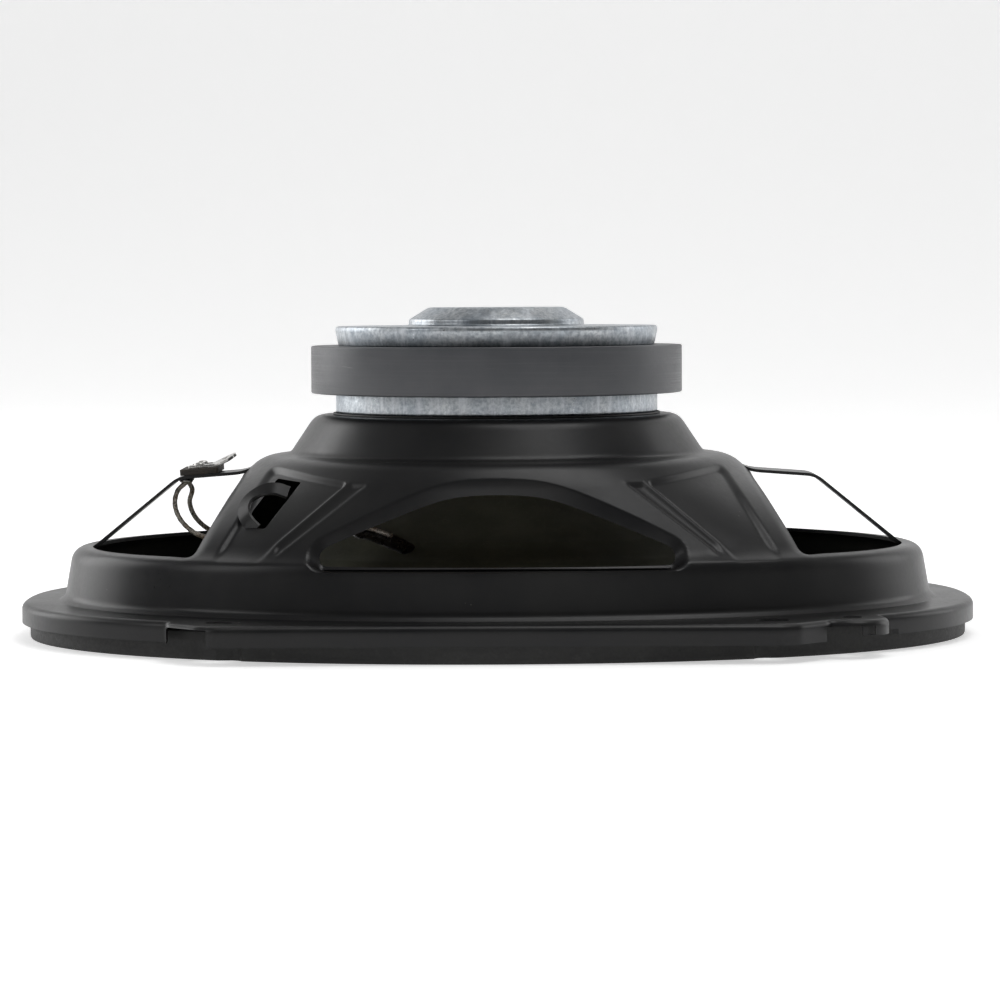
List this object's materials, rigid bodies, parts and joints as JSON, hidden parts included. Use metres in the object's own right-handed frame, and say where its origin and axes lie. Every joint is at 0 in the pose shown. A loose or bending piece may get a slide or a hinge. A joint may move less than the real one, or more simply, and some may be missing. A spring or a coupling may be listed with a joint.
{
  "type": "coaxial car speaker",
  "caption": "Oval coaxial car speaker: pressed steel basket, ferrite motor, paper cone on a rubber surround and a dome tweeter on a post.",
  "frame": {"origin": "centre of the front gasket's plane, on the voice coil axis", "axes": "+Z from the gasket towards the magnet, +X along the oval's long axis, terminals at -X"},
  "size_m": [0.235, 0.165, 0.0807],
  "materials": {
    "black_paint": "satin black paint on pressed steel",
    "black_plastic": "moulded, fine grain",
    "zinc_plate": "bright zinc plating, bluish, streaked",
    "ferrite": "ground ceramic magnet, satin",
    "tinned_steel": "tinned",
    "spider_cloth": "resin-treated woven cloth",
    "rubber": "matte rubber",
    "tinsel_braid": "braided tinsel wire with cotton core",
    "terminal_fibre": "dark fibre board",
    "cone_paper": "pressed paper, dark olive",
    "former_film": "amber film",
    "copper_wire": "enamelled copper winding",
    "felt": "black felt",
    "silk": "coated silk dome"
  },
  "bodies": {
    "frame": {"basket": "black_paint", "front_gasket": "black_plastic", "seat_ring": "black_plastic", "front_plate": "zinc_plate", "magnet": "ferrite", "t_yoke": "zinc_plate", "plate_rivet_1": "tinned_steel", "plate_rivet_2": "tinned_steel", "plate_rivet_3": "tinned_steel", "plate_rivet_4": "tinned_steel", "spider": "spider_cloth", "surround": "rubber", "tinsel_lead_positive": "tinsel_braid", "tinsel_lead_negative": "tinsel_braid", "terminal_board": "terminal_fibre", "terminal_positive": "tinned_steel", "terminal_negative": "tinned_steel", "terminal_positive_rivet": "tinned_steel", "terminal_negative_rivet": "tinned_steel", "tweeter_post": "black_plastic", "tweeter_housing": "black_plastic", "tweeter_magnet": "ferrite", "tweeter_yoke": "zinc_plate", "tweeter_pole_plate": "zinc_plate", "tweeter_guard": "black_plastic"},
    "cone_assembly": {"cone": "cone_paper", "voice_coil_former": "former_film", "voice_coil_winding": "copper_wire", "dust_ring": "felt", "lead_patch_positive": "rubber", "lead_patch_negative": "rubber"},
    "tweeter_diaphragm": {"tweeter_dome": "silk", "tweeter_coil": "copper_wire"}
  },
  "joints": [
    {"name": "cone_travel", "type": "slide", "parent": "frame", "child": "cone_assembly", "axis": [0, 0, 1], "range_m": [-0.004, 0.004], "stiffness_N_per_m": 2400, "deforming": ["surround", "spider", "tinsel_lead_positive", "tinsel_lead_negative"]},
    {"name": "tweeter_travel", "type": "slide", "parent": "frame", "child": "tweeter_diaphragm", "axis": [0, 0, 1], "range_m": [-0.0002, 0.0002], "stiffness_N_per_m": 3000}
  ]
}
